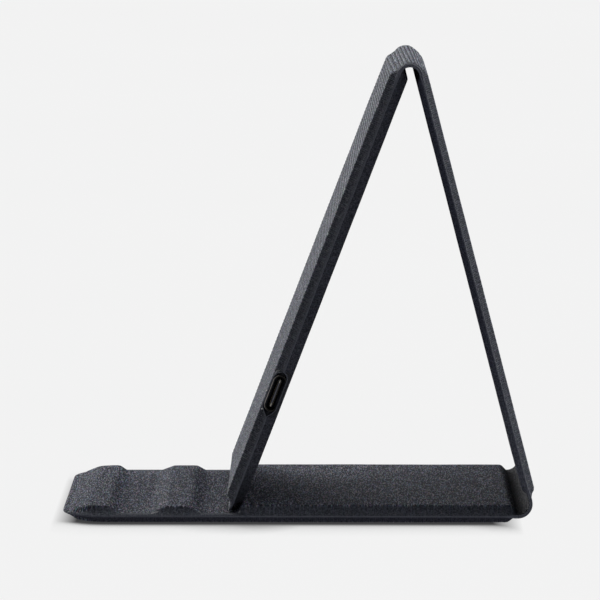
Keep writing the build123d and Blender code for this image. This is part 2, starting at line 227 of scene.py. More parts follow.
def raised(rise, start, end, start_slope, end_slope, side_slope, round_corners=False):
    """A board under the cover: full height from start to end, falling off over each slope."""
    front = (MESH_ALONG - start) / start_slope + 1
    rear = (end - MESH_ALONG) / end_slope + 1
    inset = MESH_RIM if round_corners else HALF_WIDTH - np.abs(MESH_ACROSS)
    side = (inset - EDGE_SLOPE) / side_slope + 1
    return rise * np.clip(np.minimum(np.minimum(front, rear), side), 0, 1)


def panel_span(near_foot, near_top):
    """Where a board of the charging panel lies along the strip."""
    return PANEL_FROM + near_top, STRIP_END - near_foot


def bridge():
    """The outer cover pulled straight from the edges of the two boards to the crest of the top
    hinge: its height above the hinge band."""
    radius = TOP_BEND + CLOTH
    height = np.zeros_like(MESH_ALONG)
    leg_reach = radius + LEG_BRIDGE_SWELL
    panel_reach = radius - PANEL_BRIDGE_DIP
    sides = (
        (MESH_ALONG - LEG_TO, LEG_BRIDGE_ANGLE, leg_reach, LEG_OUTER_RISE),
        (PANEL_FROM - MESH_ALONG, PANEL_BRIDGE_ANGLE, panel_reach, FACE_RISE - TOP_DIP))
    for beyond, touch, reach, rise in sides:
        turn = beyond / TOP_BEND
        on_bend = reach / np.cos(np.clip(touch - turn, 0, STEEPEST_TURN)) - radius
        on_board = (reach - beyond * math.sin(touch)) / math.cos(touch) - radius
        line = np.minimum(np.where(beyond > 0, on_bend, on_board), rise)
        pulled = (beyond > -BRIDGE_START) & (turn < touch)
        height = np.where(pulled, np.maximum(height, line), height)
    over_crest = np.clip(CREST_LEAN * (MESH_ALONG - LEG_TO) / TOP_BEND_LENGTH, 0, 1)
    height = np.maximum(height, CREST_SWELL * np.sin(math.pi * over_crest))
    return height * np.clip((MESH_RIM - EDGE_SLOPE) / BRIDGE_SIDE_SLOPE + 1, 0, 1)


def drape(boards):
    """Height of a cover stretched over its boards and pressed down round them, by relaxing a
    membrane that can't pass through a board."""
    boards = np.where(MESH_RIM > 0, boards, 0)
    height = boards.copy()
    load = PULL * GRID ** 2 / 4
    odd = np.add.outer(np.arange(len(ALONG_GRID)), np.arange(len(ACROSS_GRID))) % 2 == 1
    held = MESH_RIM < BONDED_RIM
    held[0] = held[-1] = True
    held[:, 0] = held[:, -1] = True
    for _ in range(DRAPE_STEPS):
        for colour in (odd, ~odd):
            mean = (
                np.roll(height, 1, 0) + np.roll(height, -1, 0)
                + np.roll(height, 1, 1) + np.roll(height, -1, 1)) / 4
            relaxed = height + OVER_RELAXATION * (mean - load - height)
            height = np.where(colour & ~held, np.maximum(relaxed, boards), height)
    return soften(height)


def soften(height):
    """Rounds the cover's folds as its stiffness does, by a short Gaussian blur."""
    reach = 3
    offsets = np.arange(-reach, reach + 1)
    weights = np.exp(-0.5 * (offsets * GRID / FOLD_RADIUS) ** 2)
    weights /= weights.sum()
    for axis in (0, 1):
        padded = np.concatenate(
            [np.take(height, [0] * reach, axis), height, np.take(height, [-1] * reach, axis)], axis)
        height = sum(
            w * np.take(padded, np.arange(k, k + height.shape[axis]), axis)
            for k, w in enumerate(weights))
    return height


def sample(height, along, across):
    """Height between the points of the draping grid."""
    across_spacing = ACROSS_GRID[1] - ACROSS_GRID[0]
    i = np.clip(along / GRID, 0, len(ALONG_GRID) - 1.001)
    j = np.clip((across + HALF_WIDTH) / across_spacing, 0, len(ACROSS_GRID) - 1.001)
    i0, j0 = i.astype(int), j.astype(int)
    fi, fj = i - i0, j - j0
    return (
        height[i0, j0] * (1 - fi) * (1 - fj) + height[i0 + 1, j0] * fi * (1 - fj)
        + height[i0, j0 + 1] * (1 - fi) * fj + height[i0 + 1, j0 + 1] * fi * fj)


def base_span(node):
    """Where a former of the base lies along the strip."""
    low, high = box_mm(node)
    return low[0] - BASE_FRONT, high[0] - BASE_FRONT


def inner_boards():
    """Boards under the inner cover: ridges and plateau, leg and the back of the module. Each is
    given by where its top starts and ends, then the lengths of its two end slopes and its side
    slope."""
    front_ridge = base_span("front_ridge")
    rear_ridge = base_span("rear_ridge")
    plateau = base_span("plateau_board")
    parts = [
        raised(RIDGE_RISE, 6.3, front_ridge[1] - 2.7, 5.6, 1.8, 1.0, True),
        raised(RIDGE_RISE, rear_ridge[0] + 4.9, rear_ridge[1] - 2.9, 3.8, 2.4, 1.0),
        raised(PLATEAU_RISE, plateau[0] + 1.0, plateau[1] - 0.65, 0.8, 0.5, 1.1),
        raised(LEG_INNER_RISE, LEG_FROM + 2.4, LEG_TO - 2.0, 0.6, 0.8, 2.2),
        raised(REAR_RISE, *panel_span(3.6, 0.6), 0.8, 0.8, 2.2)]
    return np.max(parts, 0)


def outer_boards():
    """Boards under the outer cover, given as above: underside of the base, leg and the charging
    face."""
    face = raised(FACE_RISE, *panel_span(3.6, 1.2), 1.35, 0.7, 2.2)
    dip = TOP_DIP * np.clip(1 - (MESH_ALONG - PANEL_FROM) / TOP_DIP_LENGTH, 0, 1)
    parts = [
        raised(UNDERSIDE_RISE, EDGE_SLOPE, BASE_LENGTH - 2.1, 1.2, 0.6, 2.0, True),
        raised(LEG_OUTER_RISE, LEG_FROM + 1.9, LEG_TO - 1.9, 0.6, 0.5, 2.2),
        np.minimum(face, FACE_RISE - dip), bridge()]
    return np.max(parts, 0)


# ---------------------------------------------------------------- cover meshes

RIB_PITCH = 0.95  # the outer cover's weave rises in ribs that run across the stand
RIB_HEIGHT = 0.09
RIB_SKEW = -0.015  # the weave lies slightly askew
RIB_START = 0.3  # the ribs are pressed flat up to here from the rim, and rise over the fade
RIB_FADE = 0.8
FACE_OFFSET = 0.6  # of the outer cover's face from the middle surface, at the bends
UNEVENNESS = 0.018
RIM_ROUND = 0.12  # radius of a cover's cut edge
RIM_PRESS = 0.23  # how much thinner the bonded edge is pressed
RIM_PRESS_WIDTH = 0.7
PRESS_START = 0.6  # from the end of a hinge's bend
PRESS_FADE = 3.0
THINNEST = 0.01  # the inside of a sheet stays this far off the middle surface
SHEET = 0.36  # thickness of the sheet over a board
OPENED_SHEET = 0.38  # and round the port
EDGE_ROWS = (  # distances of the mesh rows from the rim
    0, 0.02, 0.06, 0.12, 0.2, 0.32, 0.5, 0.75, 1.0, 1.25, 1.5, 1.75, 2.0, 2.2, 2.4, 2.6, 2.8, 3.0,
    3.25, 3.6)
CENTRE_ROWS = 56
PORT_STEP = 0.18  # spacing of the columns at the port


def face_length(along):
    """Distance along the face of the outer cover, which is longer round the bends."""
    turned = (
        np.clip((along - BASE_LENGTH) / BASE_BEND, 0, LEG_ANGLE)
        + np.clip((along - LEG_TO) / TOP_BEND, 0, TOP_BEND_ANGLE))
    return along + FACE_OFFSET * turned


def ribs(along, across, depth):
    """Ribs of the outer cover's weave, flat where the rim is pressed."""
    phase = 2 * math.pi * (along + RIB_SKEW * across) / RIB_PITCH
    fade = np.clip((depth - RIB_START) / RIB_FADE, 0, 1)
    return RIB_HEIGHT * fade * (np.abs(np.sin(phase / 2)) - 0.5)


def sag(along, across):
    """Slight unevenness of the bonded cloth."""
    return UNEVENNESS * (
        np.sin(along / 5.3 + 1.1) * np.sin(across / 4.1 + 0.4)
        + np.sin(along / 2.3 + across / 3.1) * 0.5)


def port_lift(along, across, half_height):
    """How far the near rim is lifted off the middle surface to leave an eye round the port:
    rounded towards the top of the panel and pointed towards the foot."""
    from_port = STRIP_END - along - PORT_FROM_FOOT
    past_start = np.clip(from_port - EYE_TOP_START, 0, None) / EYE_TOP_LENGTH
    top = np.sqrt(np.clip(1 - past_start ** 2, 0, 1))
    foot = np.clip((from_port + EYE_POINT) / EYE_POINT_LENGTH, 0, 1)
    foot = foot + EYE_FOOT_ROUNDING * foot * (1 - foot)
    eye = half_height * np.minimum(top, foot)
    depth = rim_distance(along, across)
    fade = np.clip(1 - (depth - EYE_DEPTH) / EYE_FADE, 0, 1)
    return np.where((across < 0) & (np.abs(from_port) < PORT_REACH), eye * fade, 0)


def rows_across(along):
    """Positions across the strip: fine near both rims, where the cover bends."""
    half = half_width_at(along)[:, None]
    edge = np.array(EDGE_ROWS)[None, :]
    near = -half + edge
    far = half - edge[:, ::-1]
    share = np.linspace(0, 1, CENTRE_ROWS + 2)[1:-1][None, :]
    inner = half - EDGE_ROWS[-1]
    middle = -inner + 2 * inner * share
    return np.concatenate([near, middle, far], 1)


def columns(start, end, step):
    """Positions along a stretch of the strip, finer round its rounded end corners and the port."""
    count = max(4, round((end - start) / step))
    found = set(np.round(np.linspace(start, end, count + 1), 4))
    corner = [1 - math.cos(math.radians(a)) for a in range(3, 90, 3)]
    if start == 0:
        found |= {round(BASE_CORNER * c, 4) for c in corner}
    if end == STRIP_END:
        found |= {round(STRIP_END - FOOT_CORNER * c, 4) for c in corner}
        port = STRIP_END - PORT_FROM_FOOT
        found |= set(np.round(np.arange(port - PORT_REACH, port + PORT_REACH, PORT_STEP), 4))
    return np.array(sorted(found))


def pinch(along, depth):
    """How far the bonded edge is pressed thinner, except round the hinges."""
    from_base_bend = np.maximum(BASE_LENGTH - along, along - LEG_FROM)
    from_top_bend = np.maximum(LEG_TO - along, along - PANEL_FROM)
    from_bends = np.minimum(from_base_bend, from_top_bend)
    clear = np.clip((from_bends - PRESS_START) / PRESS_FADE, 0, 1)
    return RIM_PRESS * clear * np.clip(1 - depth / RIM_PRESS_WIDTH, 0, 1) ** 1.5


def cover(name, height, side, start, end, step):
    """One stretch of a cover as a closed sheet: side is +1 on the outer cover, -1 on the inner."""
    ribbed = side > 0
    u = columns(start, end, step)
    across = rows_across(u)
    along = np.repeat(u[:, None], across.shape[1], 1)
    depth = np.maximum(rim_distance(along, across), 0)
    rounded = np.clip(RIM_ROUND - depth, 0, RIM_ROUND)
    edge = np.sqrt(np.maximum(RIM_ROUND ** 2 - rounded ** 2, 0)) - RIM_ROUND
    edge = edge - pinch(along, depth)
    raise_by = np.maximum(sample(height, along, across), 0)
    top = CLOTH + edge + raise_by + sag(along, across) * np.clip(raise_by, 0, 1)
    woven = face_length(along) if ribbed else along
    if ribbed:
        top = top + ribs(woven, across, depth)
    bottom = np.maximum(THINNEST, top - SHEET)
    eye = EYE_FRONT_HALF_HEIGHT if side > 0 else EYE_REAR_HALF_HEIGHT
    opened = port_lift(along, across, eye)
    bottom = np.maximum(bottom, opened)
    top = np.maximum(top, opened + OPENED_SHEET + edge)
    point, normal = strip_path(u)
    sheets = []
    for offset in (top, bottom):
        xz = point[:, None, :] + side * offset[..., None] * normal[:, None, :]
        sheets.append(np.stack([xz[..., 0], across, xz[..., 1]], -1).reshape(-1, 3) * MM)
    return closed_sheet(name, sheets, woven, across, depth, side)


def closed_sheet(name, sheets, along, across, depth, side):
    """Joins a cover's face and back round their edges into a closed mesh with a weave map."""
    rows, cols = along.shape
    index = np.arange(rows * cols).reshape(rows, cols)
    quads = np.stack([index[:-1, :-1], index[1:, :-1], index[1:, 1:], index[:-1, 1:]], -1)
    face = quads.reshape(-1, 4)
    back = face[:, ::-1] + rows * cols
    border = np.concatenate([
        index[:-1, 0], index[-1, :-1], index[:0:-1, -1], index[0, :0:-1]])
    after = np.roll(border, -1)
    wall = np.stack([after, border, border + rows * cols, after + rows * cols], -1)
    faces = np.concatenate([face, back, wall])
    if side < 0:
        faces = faces[:, ::-1]
    vertices = np.concatenate(sheets)
    mesh = bpy.data.meshes.new(name)
    mesh.vertices.add(len(vertices))
    mesh.vertices.foreach_set("co", vertices.ravel())
    mesh.loops.add(faces.size)
    mesh.loops.foreach_set("vertex_index", faces.ravel())
    mesh.polygons.add(len(faces))
    mesh.polygons.foreach_set("loop_start", np.arange(0, faces.size, 4))
    mesh.update(calc_edges=True)
    mesh.polygons.foreach_set("use_smooth", np.ones(len(faces), bool))
    weave = mesh.uv_layers.new(name="weave")
    uv = np.stack([along.ravel(), across.ravel()], -1)
    uv = np.concatenate([uv, uv])
    weave.data.foreach_set("uv", uv[faces.ravel()].ravel())
    layer = mesh.attributes.new("rim_depth", "FLOAT", "POINT")
    layer.data.foreach_set("value", np.tile(depth.ravel(), 2))
    mesh.validate()
    piece = bpy.data.objects.new(name, mesh)
    bpy.context.scene.collection.objects.link(piece)
    return piece


# ---------------------------------------------------------------- materials

class Nodes:
    """The node tree of a material or a world, with short calls for the nodes used here."""

    def __init__(self, owner):
        owner.use_nodes = True
        self.tree = owner.node_tree
        self.tree.nodes.clear()

    def add(self, kind, **settings):
        """Adds a node with its settings."""
        node = self.tree.nodes.new(kind)
        for key, value in settings.items():
            setattr(node, key, value)
        return node

    def join(self, source, target):
        """Links an output, or sets a plain value."""
        if isinstance(source, bpy.types.NodeSocket):
            self.tree.links.new(source, target)
        elif source is not None:
            target.default_value = source

    def math(self, operation, a, b=None, c=None, clamp=False):
        """One arithmetic step."""
        node = self.add("ShaderNodeMath", operation=operation, use_clamp=clamp)
        for number, value in enumerate((a, b, c)):
            self.join(value, node.inputs[number])
        return node.outputs[0]

    def vector(self, x, y, z=0.0):
        """Joins three values into a vector."""
        node = self.add("ShaderNodeCombineXYZ")
        for number, value in enumerate((x, y, z)):
            self.join(value, node.inputs[number])
        return node.outputs[0]

    def noise(self, vector, scale, detail=2.0, roughness=0.5):
        """Smooth noise from 0 to 1."""
        node = self.add("ShaderNodeTexNoise")
        self.join(vector, node.inputs["Vector"])
        node.inputs["Scale"].default_value = scale
        node.inputs["Detail"].default_value = detail
        node.inputs["Roughness"].default_value = roughness
        return node.outputs["Fac"]

    def noise_colour(self, vector, scale):
        """Smooth noise in three separate channels."""
        node = self.add("ShaderNodeTexNoise")
        self.join(vector, node.inputs["Vector"])
        node.inputs["Scale"].default_value = scale
        return node.outputs["Color"]

    def mix(self, share, a, b, blend="MIX"):
        """Mixes two colours."""
        node = self.add("ShaderNodeMix", data_type="RGBA", blend_type=blend)
        self.join(share, node.inputs[0])
        self.join(a, node.inputs[6])
        self.join(b, node.inputs[7])
        return node.outputs[2]

    def ramp(self, value, stops):
        """Colours by value: stops are (place, colour)."""
        node = self.add("ShaderNodeValToRGB")
        self.join(value, node.inputs[0])
        elements = node.color_ramp.elements
        while len(elements) < len(stops):
            elements.new(0.5)
        for element, (place, colour) in zip(elements, stops):
            element.position = place
            element.color = (*colour, 1)
        return node.outputs[0]

    def separate(self, vector):
        """Splits a vector into its three values."""
        node = self.add("ShaderNodeSeparateXYZ")
        self.join(vector, node.inputs[0])
        return tuple(node.outputs)

    def grey(self, value):
        """The same value in all three channels."""
        return self.vector(value, value, value)

    def rise(self, value, start, length):
        """Rises from 0 at start to 1 a length further on."""
        return self.math("DIVIDE", self.math("SUBTRACT", value, start), length, clamp=True)

    def fall(self, value, end, length):
        """Falls from 1 a length before the end to 0 at the end."""
        return self.math("DIVIDE", self.math("SUBTRACT", end, value), length, clamp=True)

    def wave(self, value):
        """Half waves from 0 to 1, one for each whole step of the value."""
        return self.math("ABSOLUTE", self.math("SINE", self.math("MULTIPLY", value, math.pi)))

    def scale(self, value, share, change):
        """The value times (1 + share * change)."""
        return self.math("MULTIPLY", value, self.math("MULTIPLY_ADD", share, change, 1.0))


class Surface(Nodes):
    """A material round one shader."""

    def __init__(self, name):
        self.material = bpy.data.materials.new(name)
        super().__init__(self.material)
        self.shader = self.add("ShaderNodeBsdfPrincipled")
        output = self.add("ShaderNodeOutputMaterial")
        self.join(self.shader.outputs[0], output.inputs["Surface"])

    def place(self):
        """Where a point lies on its object, in metres."""
        return self.add("ShaderNodeTexCoord").outputs["Object"]

    def bump(self, height, distance, strength=1.0):
        """Relief from a height map, at a depth in metres."""
        node = self.add("ShaderNodeBump")
        self.join(height, node.inputs["Height"])
        node.inputs["Distance"].default_value = distance
        node.inputs["Strength"].default_value = strength
        return node.outputs[0]

    def finish(self, colour=None, roughness=None, normal=None, **extra):
        """Wires the shader and returns the material."""
        self.join(colour, self.shader.inputs["Base Color"])
        self.join(roughness, self.shader.inputs["Roughness"])
        self.join(normal, self.shader.inputs["Normal"])
        for key, value in extra.items():
            self.join(value, self.shader.inputs[key.replace("_", " ")])
        return self.material


# The cloth. Lengths are in millimetres on the weave map.
YARN_PITCH = 0.475  # across a yarn that runs from side to side
CROSS_PITCH = 0.62  # of the finer yarns that hold it down
FLECK_WIDTH = 0.28  # heathered flecks, which run along the yarns
FLECK_LENGTH = 1.5
FLECK_SHADES = (
    (0.28, (0.010, 0.011, 0.014)), (0.42, (0.026, 0.028, 0.033)), (0.52, (0.046, 0.049, 0.056)),
    (0.62, (0.088, 0.090, 0.100)), (0.76, (0.205, 0.200, 0.206)))
# colours of the slopes, toned apart from the flat faces as painted light and shade for the light
# the slopes get
SLOPE_PAINTED_SHADES = ((0.34, (0.016, 0.018, 0.023)), (0.66, (0.080, 0.083, 0.094)))
SLOPE_END = 2.55  # from the side of the strip, where the flat faces begin
SLOPE_FADE = 0.35
FLAT_SHARE = 0.80  # how much more of the flecks show on the flat faces
SLOPE_SHARE = 0.16  # how much of them shows on the slopes
# colour of the painted highlight along the pressed rim
RIM_PAINTED_HIGHLIGHT = (0.155, 0.160, 0.175, 1)
RIM_WIDTH = 0.14  # of the pressed rim
HINGE_SHADE_LEAD = 0.8  # how far before the end of the plateau the painted shade of the rear hinge starts
LEG_LEAD = 1.5  # how far up the leg that painted shade ends and the painted light on the leg's slopes begins
FOOT_SHADE_REACH = 13.0  # length of the painted shade on the slopes at the foot
# strengths of the painted shade in the rear hinge and at the foot, and of the painted light on the
# leg's slopes
HINGE_PAINTED_SHADE = -0.8
FOOT_PAINTED_SHADE = -0.75
LEG_PAINTED_LIGHT = 1.1
# looks of the two cloths; the slope tone of each sets the painted light and shade on its slopes
RIBBED_LOOK = {
    "tone": 2.25, "tint": (1.0, 1.0, 1.0), "contrast": 1.0, "hue": 0.6, "slope_painted_tone": 0.95,
    "crown": (0.50, 0.60), "relief": 0.00013}
PLAIN_LOOK = {
    "tone": 0.90, "tint": (0.96, 0.98, 1.10), "contrast": 2.0, "hue": 0.9, "slope_painted_tone": 1.1,
    "crown": (0.22, 0.80), "relief": 0.00003}


def toned(shades, *tones):
    """Shades of a ramp made darker or lighter, by channel."""
    return [(place, tuple(tone * c for tone, c in zip(tones, shade))) for place, shade in shades]


def yarn_crown(n, along, across, skewed):
    """Height of round yarns from side to side, pinched where crossing yarns hold them down."""
    drift_place = n.vector(n.math("MULTIPLY", along, 0.25), n.math("MULTIPLY", across, 0.6))
    drift = n.noise(drift_place, 1.0)
    yarns = n.math("DIVIDE", n.math("MULTIPLY_ADD", drift, 0.10, skewed), YARN_PITCH)
    odd = n.math("MODULO", n.math("ABSOLUTE", n.math("FLOOR", yarns)), 2.0)
    crossing = n.math("MULTIPLY_ADD", odd, 0.5, n.math("DIVIDE", across, CROSS_PITCH))
    held = n.math("MULTIPLY_ADD", n.wave(crossing), 0.55, 0.45)
    return n.math("MULTIPLY", n.math("POWER", n.wave(yarns), 0.8), held)


def heather_and_painted_slopes(n, along, across, seed, flat_share, look):
    """Shade of the cloth: light and dark flecks on the flat faces, plainer grain on the slopes,
    which are toned apart from the flat faces as painted light and shade.
    """
    fleck_place = n.vector(
        n.math("DIVIDE", along, FLECK_WIDTH), n.math("DIVIDE", across, FLECK_LENGTH), seed)
    fleck = n.math("SUBTRACT", n.noise(fleck_place, 1.0, 2.0, 0.65), 0.5)
    fleck = n.math("MULTIPLY_ADD", fleck, look["contrast"], 0.5)
    tones = [look["tone"] * tint for tint in look["tint"]]
    flecked = n.ramp(fleck, toned(FLECK_SHADES, *tones))
    tinted = n.mix(look["hue"], flecked, n.noise_colour(fleck_place, 0.8), "SOFT_LIGHT")
    grain = n.noise(n.vector(along, across, seed), 2.6, 2.0, 0.6)
    # plainer grain on the slopes, in tones that are painted light and shade
    slope_grain_painted = n.ramp(grain, toned(SLOPE_PAINTED_SHADES, *[look["slope_painted_tone"]] * 3))
    return n.mix(n.math("MULTIPLY_ADD", flat_share, FLAT_SHARE, SLOPE_SHARE), slope_grain_painted, tinted)


def rib_shade(n, along, across, seed, skewed, flat_share):
    """Painted shade in the grooves between the ribs of the outer cover, faint on the slopes."""
    rib = n.wave(n.math("DIVIDE", skewed, RIB_PITCH))
    uneven_place = n.vector(along, n.math("MULTIPLY", across, 0.35), seed)
    uneven = n.math("SUBTRACT", n.noise(uneven_place, 1.3, 2.0), 0.5)
    rib = n.math("MULTIPLY_ADD", uneven, 0.25, rib, clamp=True)
    shade = n.math("SUBTRACT", n.math("MULTIPLY", rib, rib), 0.48)
    groove = n.math("MULTIPLY", shade, n.math("MULTIPLY_ADD", flat_share, 1.2, 0.1))
    return n.math("ADD", groove, 1.0)


def painted_inner_light_and_shade(n, along, flat_share, shade):
    """Painted light and shade of the inner cover: painted shade in the rear hinge and on the slopes
    by the foot, painted light on the slopes of the leg."""
    hinge_shade_start = base_span("plateau_board")[1] - HINGE_SHADE_LEAD
    leg_start_clear = LEG_FROM + LEG_LEAD
    on_slope = n.math("SUBTRACT", 1.0, flat_share)
    leg_light_share = n.math("MULTIPLY", n.rise(along, leg_start_clear, 3.0), n.fall(along, LEG_TO, 1.5))
    shade = n.scale(shade, n.math("MULTIPLY", leg_light_share, on_slope), LEG_PAINTED_LIGHT)
    foot_shade_share = n.rise(along, STRIP_END - FOOT_SHADE_REACH, 10.0)
    shade = n.scale(shade, n.math("MULTIPLY", foot_shade_share, on_slope), FOOT_PAINTED_SHADE)
    hinge_shade_share = n.math(
        "MULTIPLY", n.rise(along, hinge_shade_start, 1.2), n.fall(along, leg_start_clear, 2.0))
    return n.scale(shade, hinge_shade_share, HINGE_PAINTED_SHADE)


def woven_cloth(name, seed, ribbed):
    """Heathered charcoal cloth: yarns across the stand, crossed by finer ones, with a pressed
    rim. The outer cover's is ribbed as well."""
    look = RIBBED_LOOK if ribbed else PLAIN_LOOK
    n = Surface(name)
    along, across, _ = n.separate(n.add("ShaderNodeUVMap", uv_map="weave").outputs[0])
    depth = n.add("ShaderNodeAttribute", attribute_name="rim_depth").outputs["Fac"]
    skewed = n.math("MULTIPLY_ADD", across, RIB_SKEW, along)
    crown = yarn_crown(n, along, across, skewed)
    fuzz = n.noise(n.vector(along, across), 5.0, 3.0, 0.7)
    relief = n.math("MULTIPLY_ADD", fuzz, 0.35, crown)

    from_side = n.math("SUBTRACT", HALF_WIDTH, n.math("ABSOLUTE", across))
    flat_share = n.rise(from_side, SLOPE_END, SLOPE_FADE)
    base = heather_and_painted_slopes(n, along, across, seed, flat_share, look)
    # painted shade in the valleys between the yarns, and on the outer cover in the grooves between
    # the ribs too
    valley = n.math("MULTIPLY_ADD", crown, *look["crown"], clamp=True)
    if ribbed:
        valley = n.math(
            "MULTIPLY", valley, rib_shade(n, along, across, seed, skewed, flat_share))
    shaded = n.mix(1.0, base, n.grey(valley), "MULTIPLY")
    patch_place = n.vector(n.math("MULTIPLY", along, 0.05), n.math("MULTIPLY", across, 0.05))
    patchy = n.math("MULTIPLY_ADD", n.noise(patch_place, 1.0, 3.0), 0.30, 0.85)
    if not ribbed:
        # painted shade in the rear hinge and by the foot, painted light on the leg's slopes, over
        # the random patches
        patchy = painted_inner_light_and_shade(n, along, flat_share, patchy)
    cloth = n.mix(1.0, shaded, n.grey(patchy), "MULTIPLY")

    # the pressed rim is smoother, and a painted highlight makes it a little lighter
    pressed = n.math("SUBTRACT", 1.0, n.math("DIVIDE", depth, RIM_WIDTH), clamp=True)
    colour = n.mix(n.math("MULTIPLY", pressed, 0.75), cloth, RIM_PAINTED_HIGHLIGHT)
    smoothing = n.math("SUBTRACT", 1.0, n.math("MULTIPLY", pressed, 0.8))
    normal = n.bump(n.math("MULTIPLY", relief, smoothing), look["relief"], 0.8)
    roughness = n.math("MULTIPLY_ADD", fuzz, 0.16, 0.78)
    return n.finish(
        colour, roughness, normal, Specular_IOR_Level=0.02, Sheen_Weight=0.012,
        Sheen_Roughness=0.45, Sheen_Tint=(0.75, 0.75, 0.8, 1))


def moulded(name, colour, roughness, texture=900.0, depth=0.00002):
    """Moulded plastic or board with a fine spark texture and faint mottling."""
    n = Surface(name)
    place = n.place()
    fine = n.noise(place, texture, 3.0)
    broad = n.noise(place, 60.0, 2.0)
    dark = tuple(0.8 * c for c in colour)
    light = tuple(min(1, 1.2 * c) for c in colour)
    shade = n.ramp(n.math("MULTIPLY_ADD", fine, 0.5, n.math("MULTIPLY", broad, 0.5)), (
        (0.35, dark), (0.65, light)))
    rough = n.math("MULTIPLY_ADD", fine, 0.2, roughness - 0.1)
    return n.finish(shade, rough, n.bump(fine, depth))


def metal(name, colour, roughness, streak=(1.0, 1.0, 1.0)):
    """Bare or plated metal with drawn streaks, slight tarnish and small scratches."""
    n = Surface(name)
    place = n.place()
    stretched = n.add("ShaderNodeVectorMath", operation="MULTIPLY")
    n.join(place, stretched.inputs[0])
    n.join(streak, stretched.inputs[1])
    lines = n.noise(stretched.outputs[0], 2600.0, 3.0, 0.6)
    stain = n.noise(place, 240.0, 3.0)
    dark = tuple(0.72 * c for c in colour)
    shade = n.ramp(stain, ((0.35, dark), (0.62, colour)))
    rough = n.math("MULTIPLY_ADD", lines, 0.22, roughness - 0.08)
    return n.finish(shade, rough, n.bump(lines, 0.000008), Metallic=1.0)


def wound_copper(name):
    """Enamelled litz wire: fine strands twisted round the coil."""
    n = Surface(name)
    place = n.place()
    strands = n.noise(place, 3200.0, 2.0, 0.6)
    stain = n.noise(place, 300.0, 2.0)
    shade = n.ramp(n.math("MULTIPLY_ADD", strands, 0.6, n.math("MULTIPLY", stain, 0.4)), (
        (0.35, (0.30, 0.10, 0.035)), (0.7, (0.72, 0.32, 0.14))))
    return n.finish(shade, 0.34, n.bump(strands, 0.00003), Metallic=0.85, Coat_Weight=0.4)


def circuit_laminate(name):
    """Solder-masked board with faint glass weave and copper tracks under the mask."""
    n = Surface(name)
    place = n.place()
    tracks = n.add("ShaderNodeTexBrick")
    n.join(place, tracks.inputs["Vector"])
    tracks.inputs["Scale"].default_value = 420.0
    tracks.inputs["Mortar Size"].default_value = 0.03
    weave = n.noise(place, 1500.0, 2.0)
    mask = n.ramp(weave, ((0.3, (0.008, 0.05, 0.026)), (0.7, (0.016, 0.085, 0.045))))
    shade = n.mix(n.math("MULTIPLY", tracks.outputs["Fac"], 0.55), mask, (0.04, 0.17, 0.09, 1))
    return n.finish(shade, 0.38, n.bump(tracks.outputs["Fac"], 0.00002), Coat_Weight=0.3)


def port_place(n):
    """Where a point of the port lies along the panel and across its thickness from the port's
    middle, in millimetres."""
    x, _, z = n.separate(n.place())
    low, high = box_mm("usb_port_shell")
    x = n.math("SUBTRACT", n.math("DIVIDE", x, MM), (low[0] + high[0]) / 2)
    z = n.math("SUBTRACT", n.math("DIVIDE", z, MM), (low[2] + high[2]) / 2)
    along = n.math("MULTIPLY_ADD", x, panel_along[0], n.math("MULTIPLY", z, panel_along[1]))
    thick = n.math("MULTIPLY_ADD", x, panel_forward[0], n.math("MULTIPLY", z, panel_forward[1]))
    return along, thick


def port_shell():
    """Drawn steel shell painted dark as shade inside, with a painted highlight in champagne on the
    lit side of a thin lip round its mouth, broken up by the grime.
    """
    n = Surface("port_shell_metal")
    along, thick = port_place(n)
    low, high = box_mm("usb_port_shell")
    half_length = (high[2] - low[2]) / 2 / panel_along[1]
    straight = half_length - SHELL_HALF_HEIGHT
    past_straight = n.math("SUBTRACT", n.math("ABSOLUTE", along), straight)
    beyond = n.math("MAXIMUM", past_straight, 0.0)
    squares = n.math("ADD", n.math("MULTIPLY", beyond, beyond), n.math("MULTIPLY", thick, thick))
    # the thin lip round the mouth, where the painted highlight goes
    lip = n.rise(n.math("SQRT", squares), SHELL_HALF_HEIGHT - SHELL_LIP, 0.05)
    # painted light, strongest on the side the light comes from
    lit_side = n.math("MULTIPLY_ADD", thick, 0.45, 0.6, clamp=True)
    grime = n.noise(n.vector(along, thick), 1.6, 3.0)
    highlight_unevenness = n.math("MULTIPLY_ADD", grime, 0.5, 0.75)
    painted_highlight = n.math("MULTIPLY", n.math("MULTIPLY", lip, lit_side), highlight_unevenness)
    # the dark colour is painted shade, the champagne is the painted highlight
    shade = n.mix(painted_highlight, (0.03, 0.028, 0.022, 1), (0.86, 0.80, 0.66, 1))
    roughness = n.math("MULTIPLY_ADD", grime, 0.2, 0.35)
    return n.finish(shade, roughness, n.bump(grime, 0.00001), Metallic=0.8)


def port_tongue():
    """Black tongue with a painted highlight across the middle of its front and bright metal at both
    ends.
    """
    n = Surface("port_tongue_plastic")
    along, thick = port_place(n)
    grain = n.noise(n.vector(along, thick), 9.0, 3.0)
    off_middle = n.math("DIVIDE", n.math("ABSOLUTE", thick), TONGUE_HALF_THICKNESS)
    middle = n.math("SUBTRACT", 1.0, off_middle, clamp=True)
    end = n.rise(n.math("ABSOLUTE", along), TONGUE_END, 0.15)
    # painted highlight across the middle of the front
    painted_highlight = n.math("MULTIPLY", middle, 1.6, clamp=True)
    face = n.mix(painted_highlight, (0.012, 0.012, 0.013, 1), (0.20, 0.195, 0.19, 1))
    shade = n.mix(n.math("MULTIPLY", end, middle), face, (0.95, 0.88, 0.62, 1))
    return n.finish(shade, n.math("MULTIPLY_ADD", grain, 0.2, 0.4), n.bump(grain, 0.00001))


